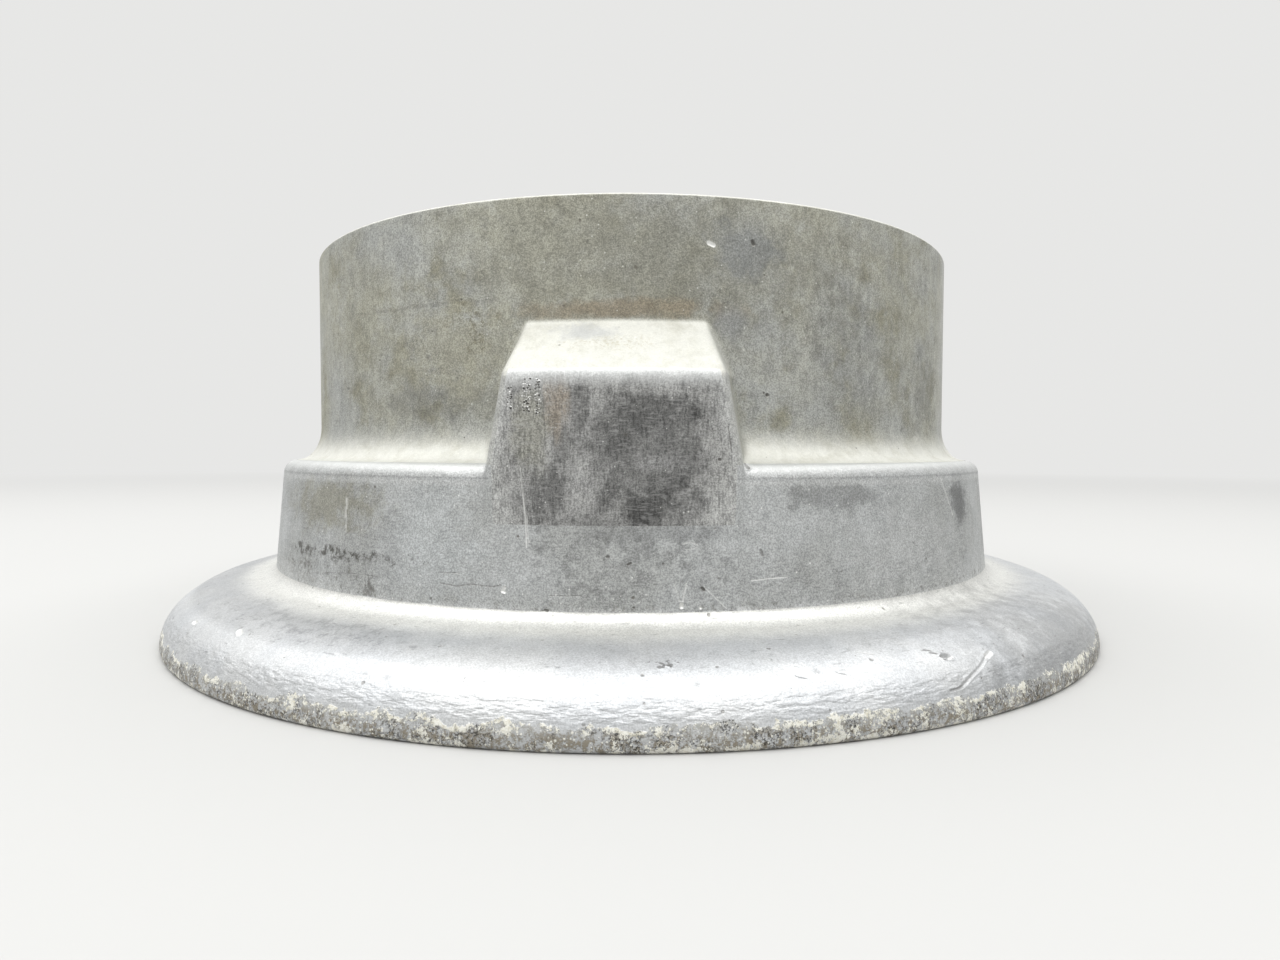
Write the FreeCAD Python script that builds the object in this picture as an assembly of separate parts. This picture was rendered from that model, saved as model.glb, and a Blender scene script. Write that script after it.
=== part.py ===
import FreeCAD, Part
import math
import os
from FreeCAD import Vector

# Inner half of a split aircraft wheel for a 6.00-6 tyre, with its bearing cup.
# Millimetres. Z is the wheel axis, and z = 0 is the floor under the tyre flange.
# The first drive boss stands on the -Y side.

INCH = 25.4

# Tyre side of the rim
rim_diameter = 6.00 * INCH          # bead seat diameter at its foot
flange_reach = 0.75 * INCH          # flange height over the bead seat
height = 72.3                       # floor plane to the split plane
seat_taper = 5.0                    # bead seat taper in degrees
foot_height = 12.3                  # where the bead seat starts
ledge_height = 32.8                 # top of the bead seat
ledge_depth = 6.7                   # step from the bead seat in to the barrel
ledge_edge_round = 2.4
barrel_root_round = 4.4
rim_bevel = 0.5

# Rolled lip of the flange
lip_reach = 12.2                    # radial half axis of the lip's ellipse
lip_rise = 9.0                      # upright half axis, over the bottom bevel
flange_slope = 0.13                 # rise of the flange face towards the seat
foot_round = 4.0
lip_bottom_bevel = 0.8

# Walls of the casting
barrel_wall = 4.7
seat_wall = 5.8
casting_draft = 0.6                 # degrees, on the walls of the brake cavity
land_width = 5.0                    # flat ring that stands on the floor
relief_depth = 3.4                  # hollow of the flange's underside
mouth_bevel = 1.0
step_bevel = 3.0                    # inside the step from brake cavity to barrel

# Split face and web
register_depth = 3.0
register_wall = 4.2
register_bevel = 0.4
web_thickness = 8.0
face_inner_radius = 42.0            # inner edge of the machined split face
hub_recess = 3.0                    # hub top below the split face
web_drop = 5.0                      # how much deeper the web is at the hub
web_round = 5.0

# Bearing cup and hub
cup_diameter = 58.738
cup_width = 10.716
cup_fit = 0.01                      # drawn clearance of the pressed-in cup
raceway_mouth_diameter = 53.6
raceway_angle = 12.5                # degrees from the axis
cup_bevel = 0.8
hub_wall = 6.2
hub_end_height = 21.0
seal_depth = 4.6                    # hub end to the cup
seal_step = 1.2                     # seal seat over the cup seat
shoulder_height = 5.4               # shoulder behind the cup
bore_bevel = 0.8
hub_bevel = 1.2

# Drive bosses on the barrel, and the slots inside them
boss_count = 3
boss_foot_height = 24.2             # where the turned boss face meets the seat
boss_face_height = 45.1             # top edge of the boss face
boss_top_height = 53.7              # where the sloping top meets the barrel
boss_foot_width = 35.6
boss_ledge_width = 36.2
boss_face_width = 29.9
boss_draft = 11.0                   # degrees, sides narrow outwards
boss_edge_round = 1.8
boss_root_flare = 1.2
slot_width = 22.0
slot_top_gap = 6.0                  # slot top below the sloping top
slot_corner_round = 2.0

# Tie bolts
bolt_circle_diameter = 4.0 * INCH
bolt_hole_diameter = 8.2
bolt_boss_diameter = 19.0
bolt_boss_drop = 6.0                # bolt pad below the web
bolt_boss_draft = 3.0
bolt_root_flare = 1.5
spot_face_diameter = 16.6
spot_face_depth = 0.4

# Ribs under the web
rib_root_width = 7.0
rib_tip_width = 4.6
rib_drop_hub = 10.0                 # below the web's underside, at the hub
rib_drop_rim = 4.5                  # the same, at the barrel
rib_edge_bevel = 0.8

# Rounds on full rings are turned as this many short cones
lip_chord_count = 5
foot_chord_count = 3
root_chord_count = 3
edge_chord_count = 2

# Derived radii and heights
seat_slope = math.tan(math.radians(seat_taper))
cavity_slope = math.tan(math.radians(casting_draft))
seat_radius = rim_diameter / 2
flange_radius = seat_radius + flange_reach
ledge_radius = seat_radius - (ledge_height - foot_height) * seat_slope
barrel_radius = ledge_radius - ledge_depth
boss_face_radius = seat_radius - (boss_foot_height - foot_height) * seat_slope
cavity_radius = barrel_radius - barrel_wall
brake_radius = ledge_radius - seat_wall + seat_slope * ledge_edge_round
step_height = ledge_height - seat_wall
split_height = height - register_depth
register_radius = barrel_radius - register_wall
web_rim_height = split_height - web_thickness
web_hub_height = web_rim_height - web_drop
cup_seat_radius = cup_diameter / 2 + cup_fit
cup_bottom = hub_end_height + seal_depth
cup_top = cup_bottom + cup_width
bore_radius = cup_seat_radius - shoulder_height
seal_radius = cup_seat_radius + seal_step
hub_radius = cup_seat_radius + hub_wall
hub_root_radius = hub_radius + (web_hub_height - hub_end_height) * cavity_slope
bolt_circle_radius = bolt_circle_diameter / 2
bolt_pad_height = web_rim_height - bolt_boss_drop
boss_step = 360.0 / boss_count
boss_slope = (boss_top_height - boss_face_height) / (boss_face_radius - barrel_radius)
slot_top = boss_face_height + boss_slope * (boss_face_radius - brake_radius) - slot_top_gap

AXIS = Vector(0, 0, 1)
CENTRE = Vector(0, 0, 0)
OVERRUN = 2.0                       # how far cuts and roots run past a surface
TOUCH = 0.05                        # how near counts as on a surface

def point(radius, z):
    """A point of the half section, which lies in the XZ plane."""
    return Vector(radius, 0, z)


def turned(vector, degrees):
    """The vector turned about the wheel axis."""
    return FreeCAD.Rotation(AXIS, degrees).multVec(vector)


def placed(shape, degrees):
    """A copy of the shape turned about the wheel axis."""
    copy = shape.copy()
    copy.rotate(CENTRE, AXIS, degrees)
    return copy


def arc_points(centre, start, end, chords):
    """Points that share out a short arc about a centre into chords."""
    first = start - centre
    last = end - centre
    turn = first.getAngle(last)
    shares = [step / chords for step in range(chords + 1)]
    return [centre + first * (math.sin(turn * (1 - share)) / math.sin(turn))
            + last * (math.sin(turn * share) / math.sin(turn)) for share in shares]


def corner_points(before, corner, after, rounding, chords):
    """Points of the round that takes the place of a corner, no longer than its walls."""
    to_before = (before - corner).normalize()
    to_after = (after - corner).normalize()
    half_angle = to_before.getAngle(to_after) / 2
    room = 0.49 * min((before - corner).Length, (after - corner).Length)
    reach = min(rounding / math.tan(half_angle), room)
    centre = corner + (to_before + to_after).normalize() * (reach / math.cos(half_angle))
    return arc_points(centre, corner + to_before * reach, corner + to_after * reach, chords)


def section(corners):
    """Points of a closed section with corners (radius, z) or (radius, z, round, chords)."""
    ends = [point(corner[0], corner[1]) for corner in corners]
    points = []
    for index, corner in enumerate(corners):
        if len(corner) == 2:
            points.append(ends[index])
        else:
            after = ends[(index + 1) % len(ends)]
            points += corner_points(ends[index - 1], ends[index], after, corner[2], corner[3])
    return points


def revolved(points):
    """The solid that a closed half section makes about the wheel axis."""
    return Part.Face(Part.makePolygon(points + points[:1])).revolve(CENTRE, AXIS, 360)


def lip_points():
    """Rolled lip, flange face and foot round, from the lip's outermost point to the seat."""
    centre = point(flange_radius - lip_reach, lip_bottom_bevel)
    end_angle = math.atan2(lip_rise, lip_reach * flange_slope)
    angles = [end_angle * step / lip_chord_count for step in range(lip_chord_count + 1)]
    lip = [centre + point(lip_reach * math.cos(angle), lip_rise * math.sin(angle)) for angle in angles]

    # The foot round is tangent to the flange face and stops on the bead seat's foot.
    crown = lip[-1]
    foot = point(seat_radius, foot_height)
    face_at_foot = crown.z + flange_slope * (crown.x - seat_radius)
    stretch = math.sqrt(1 + flange_slope ** 2)
    rise = face_at_foot + foot_round * stretch - foot_height
    a = stretch ** 2
    b = -2 * flange_slope * rise
    c = rise ** 2 - foot_round ** 2
    out = (-b + math.sqrt(b * b - 4 * a * c)) / (2 * a)
    round_centre = point(seat_radius + out, foot_height + rise - flange_slope * out)
    touch = round_centre + point(-flange_slope, -1).normalize() * foot_round
    return lip + arc_points(round_centre, touch, foot, foot_chord_count)


def outer_form():
    """Solid blank with the outside of flange, bead seat and barrel."""
    barrel = section([
        (seat_radius, foot_height),
        (ledge_radius, ledge_height, ledge_edge_round, edge_chord_count),
        (barrel_radius, ledge_height, barrel_root_round, root_chord_count),
        (barrel_radius, height, rim_bevel, 1),
        (0, height),
        (0, 0),
        (flange_radius - lip_bottom_bevel, 0)])
    return revolved(lip_points()[:-1] + barrel)


def inner_form():
    """Solid of the hollows: register, hub bores, brake cavity and flange relief."""
    land_inner = flange_radius - lip_bottom_bevel - land_width
    mouth_radius = brake_radius + (step_height - relief_depth) * cavity_slope
    upper_radius = cavity_radius - (web_rim_height - step_height) * cavity_slope
    recess_height = split_height - hub_recess
    return revolved(section([
        (0, height + OVERRUN),
        (register_radius + OVERRUN, height + OVERRUN),
        (register_radius + OVERRUN, height),
        (register_radius, height, register_bevel, 1),
        (register_radius, split_height),
        (face_inner_radius, split_height),
        (face_inner_radius - hub_recess, recess_height),
        (bore_radius, recess_height, bore_bevel, 1),
        (bore_radius, cup_top),
        (cup_seat_radius, cup_top),
        (cup_seat_radius, cup_bottom),
        (seal_radius, cup_bottom),
        (seal_radius, hub_end_height),
        (hub_radius, hub_end_height, hub_bevel, 1),
        (hub_root_radius, web_hub_height, web_round, edge_chord_count),
        (upper_radius, web_rim_height, web_round, edge_chord_count),
        (cavity_radius, step_height, step_bevel, 1),
        (brake_radius, step_height, step_bevel, 1),
        (mouth_radius, relief_depth, mouth_bevel, 1),
        (land_inner - relief_depth, relief_depth),
        (land_inner, 0),
        (land_inner + OVERRUN, 0),
        (land_inner + OVERRUN, -OVERRUN),
        (0, -OVERRUN)]))


def side_outline(distance, flare):
    """Front outline of a drive boss, at a distance from the wheel axis, let out by a flare."""
    spread = (boss_face_radius - distance) * math.tan(math.radians(boss_draft))
    foot = boss_foot_width / 2 + spread + flare
    ledge = boss_ledge_width / 2 + spread + flare
    face = boss_face_width / 2 + spread
    lean = (boss_ledge_width - boss_face_width) / 2 / (boss_face_height - ledge_height)
    top_z = boss_top_height + OVERRUN * 2
    top = face - lean * (top_z - boss_face_height)
    right = [(foot, boss_foot_height - OVERRUN), (ledge, ledge_height), (top, top_z)]
    left = [(-x, z) for x, z in reversed(right)]
    points = [Vector(x, -distance, z) for x, z in right + left]
    return Part.makePolygon(points + points[:1])


def drive_boss():
    """One drafted boss on the -Y side, with a turned face, a sloping top and a flared root."""
    inner = barrel_radius - OVERRUN
    bottom = boss_foot_height - OVERRUN
    ring = revolved(section([
        (inner, bottom),
        (boss_face_radius, bottom),
        (boss_face_radius, boss_face_height, boss_edge_round, edge_chord_count),
        (inner, boss_top_height + boss_slope * OVERRUN)]))
    outlines = [side_outline(inner - OVERRUN, 0), side_outline(boss_face_radius + OVERRUN, 0)]
    boss = ring.common(Part.makeLoft(outlines, True, True))
    sides = [edge for edge in boss.Edges if is_side_edge(edge)]
    boss = boss.makeFillet(boss_edge_round, sides)

    # The flare fills the corner between the sides and the barrel, and dies out at the top.
    inner_flare = boss_root_flare * 2
    outlines = [side_outline(barrel_radius - boss_root_flare, inner_flare),
                side_outline(barrel_radius + boss_root_flare, 0)]
    return boss.fuse(ring.common(Part.makeLoft(outlines, True, True)))


def is_side_edge(edge):
    """True on the outer edges between a boss side and its face or sloping top."""
    middle = edge.CenterOfMass
    box = edge.BoundBox
    on_side = box.XMin > slot_width / 4 or box.XMax < -slot_width / 4
    outside = math.hypot(middle.x, middle.y) > barrel_radius + OVERRUN / 2
    return on_side and outside and box.ZLength > OVERRUN / 8


def drive_slot():
    """One parallel-sided slot on the -Y side, open to the brake cavity."""
    bottom = step_height - seat_wall
    inner = cavity_radius - slot_width / 2
    ring = revolved(section([
        (inner, bottom),
        (brake_radius, bottom),
        (brake_radius, slot_top, slot_corner_round, edge_chord_count),
        (inner, slot_top)]))
    block = Part.makeBox(slot_width, brake_radius, height, Vector(-slot_width / 2, -brake_radius, 0))
    slot = ring.common(block)
    corners = [edge for edge in slot.Edges if is_slot_corner(edge)]
    return slot.makeFillet(slot_corner_round, corners)


def is_slot_corner(edge):
    """True on the upright edges between a slot's sides and its floor."""
    middle = edge.CenterOfMass
    upright = edge.BoundBox.ZLength > slot_corner_round * 2
    return upright and math.hypot(middle.x, middle.y) > brake_radius - TOUCH


def bolt_boss():
    """One round pad for a tie bolt under the web, with a flared root, on the +X side."""
    root_z = web_rim_height + OVERRUN
    draft = math.tan(math.radians(bolt_boss_draft))
    tip = bolt_boss_diameter / 2
    root = tip + (web_rim_height - bolt_root_flare - bolt_pad_height) * draft
    pad = revolved(section([
        (0, bolt_pad_height),
        (tip, bolt_pad_height),
        (root, web_rim_height - bolt_root_flare),
        (root + bolt_root_flare, web_rim_height),
        (root + bolt_root_flare, root_z),
        (0, root_z)]))
    pad.translate(point(bolt_circle_radius, 0))
    return pad


def bolt_cut():
    """Bolt hole and the spot face that seats the bolt's head, on the +X side."""
    start = Vector(bolt_circle_radius, 0, bolt_pad_height - OVERRUN)
    hole = Part.makeCylinder(bolt_hole_diameter / 2, split_height - start.z + OVERRUN, start, AXIS)
    seat_depth = rib_drop_hub + web_drop
    seat = Vector(bolt_circle_radius, 0, bolt_pad_height + spot_face_depth - seat_depth)
    return hole.fuse(Part.makeCylinder(spot_face_diameter / 2, seat_depth, seat, AXIS))


def rib_section(radius, tip_z, root_z):
    """Tapered section of a rib, at a distance from the wheel axis along +X."""
    root = rib_root_width / 2
    tip = rib_tip_width / 2
    half = [(root, root_z), (tip, tip_z + rib_edge_bevel), (tip - rib_edge_bevel, tip_z)]
    other = [(-y, z) for y, z in reversed(half)]
    points = [Vector(radius, y, z) for y, z in half + other]
    return Part.makePolygon(points + points[:1])


def rib():
    """One rib under the web, from the hub to the barrel, along +X."""
    hub_end = hub_radius - OVERRUN
    rim_end = cavity_radius + OVERRUN
    hub_section = rib_section(hub_end, web_hub_height - rib_drop_hub, web_hub_height + OVERRUN)
    rim_section = rib_section(rim_end, web_rim_height - rib_drop_rim, web_rim_height + OVERRUN)
    return Part.makeLoft([hub_section, rim_section], True, True)


def bolt_angles():
    """Tie bolts lie midway between the drive bosses."""
    return [-90 + boss_step * (index + 0.5) for index in range(boss_count)]


def boss_angles():
    """Turns that carry the boss on the -Y side to each of its places."""
    return [boss_step * index for index in range(boss_count)]


def wheel_half():
    """The whole casting, machined."""
    bosses = [placed(drive_boss(), angle) for angle in boss_angles()]
    body = outer_form().fuse(bosses).cut(inner_form())
    rib_angles = bolt_angles() + [angle - 90 for angle in boss_angles()]
    pads = [placed(bolt_boss(), angle) for angle in bolt_angles()]
    body = body.fuse(pads + [placed(rib(), angle) for angle in rib_angles])
    cuts = [placed(bolt_cut(), angle) for angle in bolt_angles()]
    cuts += [placed(drive_slot(), angle) for angle in boss_angles()]
    return body.cut(cuts).removeSplitter()


def bearing_cup():
    """Outer ring of the tapered roller bearing, its raceway opening downwards."""
    outer = cup_diameter / 2
    mouth = raceway_mouth_diameter / 2
    small = mouth - cup_width * math.tan(math.radians(raceway_angle))
    return revolved(section([
        (mouth, cup_bottom),
        (outer, cup_bottom),
        (outer, cup_top, cup_bevel, 1),
        (small, cup_top)]))


def main():
    os.makedirs("parts", exist_ok=True)
    nodes = {"wheel_half": wheel_half(), "bearing_cup": bearing_cup()}
    for name, shape in nodes.items():
        solids = shape.Solids
        print(name, "solids", len(solids), "valid", shape.isValid(), "volume", round(shape.Volume, 1))
        solids[0].exportStep("parts/" + name + ".step")


main()
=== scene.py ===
import math
import random
from functools import reduce

import bpy
import numpy as np
from mathutils import Matrix, Vector, noise


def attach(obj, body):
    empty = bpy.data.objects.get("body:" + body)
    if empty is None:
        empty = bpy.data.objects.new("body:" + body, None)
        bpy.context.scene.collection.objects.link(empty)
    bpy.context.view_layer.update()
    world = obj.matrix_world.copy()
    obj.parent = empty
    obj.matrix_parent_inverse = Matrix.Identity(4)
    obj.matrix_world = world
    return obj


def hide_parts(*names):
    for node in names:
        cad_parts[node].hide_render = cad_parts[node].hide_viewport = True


# Inner half of a split aircraft wheel, standing flange down. The outside that the tyre
# and tube touch is turned here as a fine skin, and the inside comes from the solid.

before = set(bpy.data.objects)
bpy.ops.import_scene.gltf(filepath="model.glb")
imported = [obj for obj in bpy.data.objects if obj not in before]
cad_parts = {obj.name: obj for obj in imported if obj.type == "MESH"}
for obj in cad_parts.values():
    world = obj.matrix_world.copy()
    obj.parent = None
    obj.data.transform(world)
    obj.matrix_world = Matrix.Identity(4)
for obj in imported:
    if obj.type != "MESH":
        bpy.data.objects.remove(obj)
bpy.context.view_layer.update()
root = "root"

MM = 0.001

# Sizes of the tyre side in millimetres. Apart from the round at the rim they are the solid's.
flange_radius = 95.25
bottom_round = 0.8
lip_reach = 12.2
lip_centre = flange_radius - lip_reach
lip_rise = 9.0
lip_curve_top = 9.6
flange_slope = 0.13
foot_round = 4.0
seat_radius = 76.2
foot_height = 12.3
seat_slope = math.tan(math.radians(5))
ledge_height = 32.8
ledge_radius = seat_radius - (ledge_height - foot_height) * seat_slope
barrel_radius = ledge_radius - 6.7
ledge_edge_round = 2.4
root_fillet_width = 4.4
root_fillet_height = 6.4
rim_round = 0.35
height = 72.3

# A face of the solid this near to the floor or to the top lies on it
on_level = 0.01

# Sizes of the drive bosses. The photo's boss has its brow half a millimetre higher than the
# solid's, and is a little fuller there and narrower at its top, so its sides bend at the brow.
boss_foot = 24.2
boss_radius = seat_radius - (boss_foot - foot_height) * seat_slope
boss_face_top = 45.6
boss_top = 53.7
boss_half_foot = 17.8
boss_half_ledge = 18.1
boss_half_brow = 15.7
boss_half_top = 11.9
boss_draft = math.tan(math.radians(11))
boss_edge = 0.9
boss_brow = 3.2
boss_root = 1.5

# Degrees to each side of its middle that the face of the boss in front reaches
boss_half_azimuth = 13.3

third_turn = 2 * math.pi / 3
sixth_turn = math.pi / 3

# How finely the skin is divided round one third of the wheel
face_steps = 32
root_steps = 5
wall_steps = 2
edge_steps = 6
band_steps = root_steps + wall_steps + edge_steps
plain_steps = 66
sector_steps = face_steps + 2 * band_steps + plain_steps
column_count = 3 * sector_steps

# Share of a corner's reach that a soft curve needs to look as round as an arc
soft_reach = 0.824

# Points this near are merged, and edges sharper than this many degrees stay sharp
merge_gap = 0.01 * MM
sharp_edge = 34


def edit_mode():
    bpy.ops.object.mode_set(mode="EDIT")


def object_mode():
    bpy.ops.object.mode_set(mode="OBJECT")


def choose(action):
    """Selects or deselects everything in edit mode."""
    bpy.ops.mesh.select_all(action=action)


def deselect_all():
    if bpy.context.object and bpy.context.object.mode != "OBJECT":
        object_mode()
    bpy.ops.object.select_all(action="DESELECT")


def make_active(piece):
    deselect_all()
    piece.select_set(True)
    bpy.context.view_layer.objects.active = piece


# Half section of the tyre side

def arc(centre, radius, start, end, steps):
    """Places on an arc, angles in degrees, without its first place."""
    turns = [math.radians(start + (end - start) * (i + 1) / steps) for i in range(steps)]
    return [(centre[0] + radius * math.cos(a), centre[1] + radius * math.sin(a)) for a in turns]


def straight(start, end, steps):
    return [(start[0] + (end[0] - start[0]) * (i + 1) / steps,
             start[1] + (end[1] - start[1]) * (i + 1) / steps) for i in range(steps)]


def rounded_corner(before, corner, after, radius, steps):
    """A straight run to the round of a corner, and places round it."""
    a, c, b = Vector(before), Vector(corner), Vector(after)
    to_a, to_b = (a - c).normalized(), (b - c).normalized()
    half = to_a.angle(to_b) / 2
    start = c + to_a * radius / math.tan(half)
    end = c + to_b * radius / math.tan(half)
    centre = c + (to_a + to_b).normalized() * radius / math.sin(half)
    turn = math.pi - 2 * half
    places = []
    for i in range(steps + 1):
        share = i / steps
        v = (start - centre) * math.sin(turn * (1 - share)) + (end - centre) * math.sin(turn * share)
        places.append(tuple(centre + v / math.sin(turn)))
    return places


def named(part, places):
    return [(r, z, part) for r, z in places]


def tyre_side_section():
    """Stations from the land under the flange up to the rim, each (radius, z, part name)."""
    stations = [(flange_radius - bottom_round, 0.0, "lip")]
    centre = (flange_radius - bottom_round, bottom_round)
    stations += named("lip", arc(centre, bottom_round, -90, 0, 4))
    last = math.degrees(math.atan2(lip_rise, lip_reach * flange_slope))
    for i in range(26):
        a = math.radians(last * (i + 1) / 26)
        place = (lip_centre + lip_reach * math.cos(a), bottom_round + lip_rise * math.sin(a))
        stations.append((*place, "lip"))
    crown = stations[-1]
    rise_at_foot = crown[1] + flange_slope * (crown[0] - seat_radius)
    stretch = math.sqrt(1 + flange_slope ** 2)
    rise = rise_at_foot + foot_round * stretch - foot_height
    b = -2 * flange_slope * rise
    c = rise ** 2 - foot_round ** 2
    out = (-b + math.sqrt(b * b - 4 * stretch ** 2 * c)) / (2 * stretch ** 2)
    foot_centre = (seat_radius + out, foot_height + rise - flange_slope * out)
    touch_angle = math.degrees(math.atan2(-1, -flange_slope))
    foot_angle = math.degrees(math.atan2(foot_height - foot_centre[1], seat_radius - foot_centre[0]))
    touch = (foot_centre[0] - foot_round * flange_slope / stretch, foot_centre[1] - foot_round / stretch)
    stations += named("lip", straight(crown[:2], touch, 6))
    stations += named("foot", arc(foot_centre, foot_round, touch_angle, foot_angle, 7))
    at_boss_foot = (boss_radius, boss_foot)
    edge = rounded_corner((seat_radius, foot_height), (ledge_radius, ledge_height),
                          (barrel_radius, ledge_height), ledge_edge_round, 7)
    root_round = []
    for i in range(10):
        turn = math.pi / 2 * i / 9
        root_round.append((barrel_radius + root_fillet_width * (1 - math.sin(turn)),
                           ledge_height + root_fillet_height * (1 - math.cos(turn))))
    stations += named("seat", straight((seat_radius, foot_height), at_boss_foot, 13))
    stations += named("seat", straight(at_boss_foot, edge[0], 8))
    stations += named("ledge", edge[1:] + root_round)
    level = root_round[-1][1]
    for top, steps in ((43.9, 6), (46.1, 8), (52.9, 9), (54.5, 6), (height - rim_round, 16)):
        stations += named("barrel", straight((barrel_radius, level), (barrel_radius, top), steps))
        level = top
    centre = (barrel_radius - rim_round, height - rim_round)
    stations += named("rim", arc(centre, rim_round, 0, 90, 3))
    return stations


stations = tyre_side_section()
station_count = len(stations)


def turned_skin():
    """The section drawn point by point and spun about the wheel axis."""
    deselect_all()
    bpy.ops.mesh.primitive_plane_add(size=2, location=(0, 0, 0))
    skin = bpy.context.object
    skin.name = "tyre_side"
    edit_mode()
    choose("SELECT")
    bpy.ops.mesh.merge(type="CENTER")
    r, z = stations[0][:2]
    bpy.ops.transform.translate(value=(0, -r * MM, z * MM))
    for (r0, z0, _), (r1, z1, _) in zip(stations, stations[1:]):
        step = (0, (r0 - r1) * MM, (z1 - z0) * MM)
        bpy.ops.mesh.extrude_vertices_move(TRANSFORM_OT_translate={"value": step})
    choose("SELECT")
    bpy.ops.mesh.spin(steps=column_count, angle=2 * math.pi, center=(0, 0, 0), axis=(0, 0, 1),
                      use_auto_merge=True)
    object_mode()
    return skin


def boss_half_width(z):
    """Half width of a boss at its face."""
    heights = (boss_foot - 2.0, ledge_height, boss_face_top, boss_top)
    return float(np.interp(z, heights, (boss_half_foot, boss_half_ledge, boss_half_brow, boss_half_top)))


def boss_side(r, z):
    """How far a boss side stands from the middle of the boss, at a radius and height."""
    return boss_half_width(z) + (boss_radius - r) * boss_draft


def boss_section():
    """Radius and height of the boss face for every station, with its rounded edges."""
    front = rounded_corner((boss_radius, boss_foot), (boss_radius, boss_face_top),
                           (barrel_radius, boss_top), boss_brow, 24)
    back = rounded_corner((boss_radius, boss_face_top), (barrel_radius, boss_top),
                          (barrel_radius, height), boss_root, 24)
    heights = [boss_foot] + [z for _, z in front + back] + [height]
    radii = [boss_radius] + [r for r, _ in front + back] + [barrel_radius]
    ledge_rows = [i for i, s in enumerate(stations) if s[2] == "ledge"]
    first = stations[ledge_rows[0] - 1][1]
    last = stations[ledge_rows[-1]][1]
    places = []
    for i, (r, z, part) in enumerate(stations):
        if part == "ledge":
            z = first + (last - first) * (i - ledge_rows[0] + 1) / len(ledge_rows)
            places.append((boss_radius, z))
        elif z <= boss_foot + 0.001 or part == "rim":
            places.append((r, z))
        else:
            places.append((float(np.interp(z, heights, radii)), z))
    return places


def fade(value, low, high):
    """0 below low and 1 above high, smooth between."""
    share = np.clip((value - low) / (high - low), 0, 1)
    return share * share * (3 - 2 * share)


def bend(start, corner, end, steps):
    """Places on a soft curve that a corner pulls, with both ends."""
    places = []
    for i in range(steps + 1):
        s = i / steps
        places.append(start * (1 - s) ** 2 + corner * (2 * s * (1 - s)) + end * s ** 2)
    return places


def sector_row(base, face):
    """One row of places round a third of the wheel, as azimuth, radius and height.
    base is the plain wheel's (radius, z) at this row and face is the boss's."""
    low = np.array([boss_side(*base), *base])
    high = np.array([boss_side(*face), *face])
    wall = high - low
    length = np.linalg.norm(wall)
    along = wall / length if length > 1e-6 else wall
    root_reach = boss_root * soft_reach
    edge_reach = (boss_edge + 0.5 * fade(face[1], boss_face_top - 0.5, boss_top - 1)) * soft_reach
    start = low + np.array([root_reach, 0, 0])
    end = high - np.array([edge_reach, 0, 0])
    root_end = low + along * min(root_reach, 0.45 * length)
    edge_start = high - along * min(edge_reach, 0.45 * length)
    band = bend(start, low, root_end, root_steps)
    band += [root_end + (edge_start - root_end) * (i + 1) / wall_steps for i in range(wall_steps)]
    band += bend(edge_start, high, end, edge_steps)[1:]
    band = np.array(band)
    spread = np.linspace(0, 1, band_steps + 1)
    even = start + (end - start) * spread[:, None]
    even[:, 1:] = low[1:] + (high - low)[1:] * fade(spread, 0.3, 0.7)[:, None]
    band = even + (band - even) * fade(length, 0.2, 1.6)
    row = []
    side_angle = math.asin(band[0, 0] / band[0, 1])
    half = plain_steps // 2
    for i in range(half):
        row.append((-sixth_turn + (sixth_turn - side_angle) * i / half, band[0, 1], band[0, 2]))
    for across, r, z in band[:-1]:
        row.append((-math.asin(across / r), r, z))
    inner = band[-1]
    for i in range(face_steps + 1):
        across = inner[0] * (2 * i / face_steps - 1)
        row.append((math.asin(across / inner[1]), inner[1], inner[2]))
    for across, r, z in band[::-1][1:]:
        row.append((math.asin(across / r), r, z))
    for i in range(1, half):
        row.append((side_angle + (sixth_turn - side_angle) * i / half, band[0, 1], band[0, 2]))
    return row


def skin_places():
    """Azimuth, radius and height of every skin point, by station and column."""
    faces = boss_section()
    foot = next(i for i, s in enumerate(stations) if s[1] > boss_foot - 0.001 and s[2] == "seat")
    rows = [sector_row(stations[i][:2], faces[i]) for i in range(station_count)]
    places = np.zeros((station_count, column_count, 3))
    for i in range(station_count):
        row = np.array(rows[i])
        if i < foot:
            row[:, 0] = np.array(rows[foot])[:, 0]
            row[:, 1:] = stations[i][:2]
        for sector in range(3):
            part = row.copy()
            part[:, 0] += sector * third_turn
            places[i, sector * sector_steps:(sector + 1) * sector_steps] = part
    return places


def rows_of(items, name):
    """A vector that every item has, as rows of three."""
    values = np.empty(len(items) * 3, np.float32)
    items.foreach_get(name, values)
    return values.reshape(-1, 3)


def skin_points(piece):
    return rows_of(piece.data.vertices, "co").astype(float) / MM


def put_points(piece, points):
    piece.data.vertices.foreach_set("co", (points * MM).astype(np.float32).ravel())
    piece.data.update()


def shape_bosses(skin):
    """Moves the spun points on to the bosses, and keeps the rest on the turned section."""
    points = skin_points(skin)
    azimuth = np.arctan2(points[:, 0], -points[:, 1])
    column = np.rint((azimuth + sixth_turn) / (2 * math.pi) * column_count).astype(int) % column_count
    section = np.array([s[:2] for s in stations])
    radius = np.hypot(points[:, 0], points[:, 1])
    gap = (radius[:, None] - section[None, :, 0]) ** 2 + (points[:, 2, None] - section[None, :, 1]) ** 2
    station = gap.argmin(axis=1)
    places = skin_places()[station, column]
    points[:, 0] = places[:, 1] * np.sin(places[:, 0])
    points[:, 1] = -places[:, 1] * np.cos(places[:, 0])
    points[:, 2] = places[:, 2]
    put_points(skin, points)


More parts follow.
